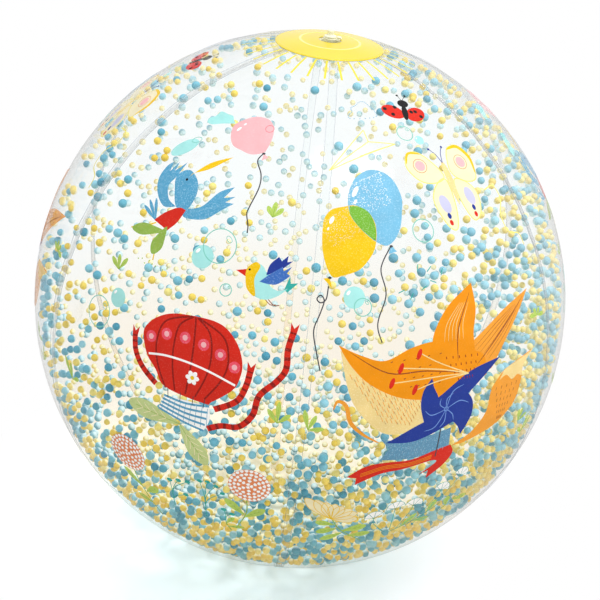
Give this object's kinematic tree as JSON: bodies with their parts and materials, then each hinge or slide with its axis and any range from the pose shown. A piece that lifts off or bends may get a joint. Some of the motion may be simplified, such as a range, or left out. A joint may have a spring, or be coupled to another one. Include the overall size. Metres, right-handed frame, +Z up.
{
  "type": "inflatable beach ball",
  "caption": "Clear inflatable beach ball with loose blue and yellow foam beads inside, a yellow sun disc at the top pole and a push-in valve with a strapped plug.",
  "frame": {"origin": "centre of the bottom cap's flat outer face, on the ball's axis", "axes": "+Z up along the ball's axis to the valve in the top cap; -Y is the front, where a seam between two panels lies"},
  "size_m": [0.349, 0.3496, 0.3604],
  "materials": {
    "clear_film": "clear soft vinyl film, high gloss",
    "yellow_film": "translucent yellow soft vinyl film, glossy",
    "valve_vinyl": "milky moulded soft vinyl",
    "blue_foam": "expanded polystyrene bead, matt with fine cells",
    "yellow_foam": "expanded polystyrene bead, matt with fine cells"
  },
  "bodies": {
    "shell": {"bottom_cap": "clear_film", "panel_1": "clear_film", "panel_2": "clear_film", "panel_3": "clear_film", "panel_4": "clear_film", "panel_5": "clear_film", "panel_6": "clear_film", "top_cap": "yellow_film", "valve_flange": "valve_vinyl", "valve_skirt": "valve_vinyl"},
    "stem": {"valve_stem": "valve_vinyl"},
    "plug": {"valve_plug": "valve_vinyl", "plug_strap": "valve_vinyl"},
    "flap": {"valve_flap": "valve_vinyl"},
    "upper_beads": {"blue_bead_upper_01": "blue_foam", "blue_bead_upper_03": "blue_foam", "blue_bead_upper_05": "blue_foam", "blue_bead_upper_07": "blue_foam", "blue_bead_upper_09": "blue_foam", "blue_bead_upper_11": "blue_foam", "blue_bead_upper_13": "blue_foam", "yellow_bead_upper_02": "yellow_foam", "yellow_bead_upper_04": "yellow_foam", "yellow_bead_upper_06": "yellow_foam", "yellow_bead_upper_08": "yellow_foam", "yellow_bead_upper_10": "yellow_foam", "yellow_bead_upper_12": "yellow_foam"},
    "middle_beads": {"blue_bead_middle_01": "blue_foam", "blue_bead_middle_03": "blue_foam", "blue_bead_middle_05": "blue_foam", "blue_bead_middle_07": "blue_foam", "blue_bead_middle_09": "blue_foam", "blue_bead_middle_11": "blue_foam", "blue_bead_middle_13": "blue_foam", "yellow_bead_middle_02": "yellow_foam", "yellow_bead_middle_04": "yellow_foam", "yellow_bead_middle_06": "yellow_foam", "yellow_bead_middle_08": "yellow_foam", "yellow_bead_middle_10": "yellow_foam", "yellow_bead_middle_12": "yellow_foam"},
    "lower_beads": {"blue_bead_lower_01": "blue_foam", "blue_bead_lower_03": "blue_foam", "blue_bead_lower_05": "blue_foam", "blue_bead_lower_07": "blue_foam", "blue_bead_lower_09": "blue_foam", "blue_bead_lower_11": "blue_foam", "blue_bead_lower_13": "blue_foam", "yellow_bead_lower_02": "yellow_foam", "yellow_bead_lower_04": "yellow_foam", "yellow_bead_lower_06": "yellow_foam", "yellow_bead_lower_08": "yellow_foam", "yellow_bead_lower_10": "yellow_foam", "yellow_bead_lower_12": "yellow_foam"}
  },
  "joints": [
    {"name": "stem_slide", "type": "slide", "parent": "shell", "child": "stem", "axis": [0, 0, 1], "range_m": [0, 0.009]},
    {"name": "plug_hinge", "type": "hinge", "parent": "stem", "child": "plug", "pos_m": [0.0066, 0, 0.35571], "axis": [0, 1, 0], "range_deg": [0, 135]},
    {"name": "flap_hinge", "type": "hinge", "parent": "stem", "child": "flap", "pos_m": [-0.0033, 0, 0.34211], "axis": [0, 1, 0], "range_deg": [0, 60]},
    {"name": "upper_swirl", "type": "hinge", "parent": "shell", "child": "upper_beads", "pos_m": [0, 0, 0.1752], "axis": [0, 0, 1], "continuous": true},
    {"name": "middle_swirl", "type": "hinge", "parent": "shell", "child": "middle_beads", "pos_m": [0, 0, 0.1752], "axis": [0, 0, 1], "continuous": true},
    {"name": "lower_swirl", "type": "hinge", "parent": "shell", "child": "lower_beads", "pos_m": [0, 0, 0.1752], "axis": [0, 0, 1], "continuous": true}
  ]
}
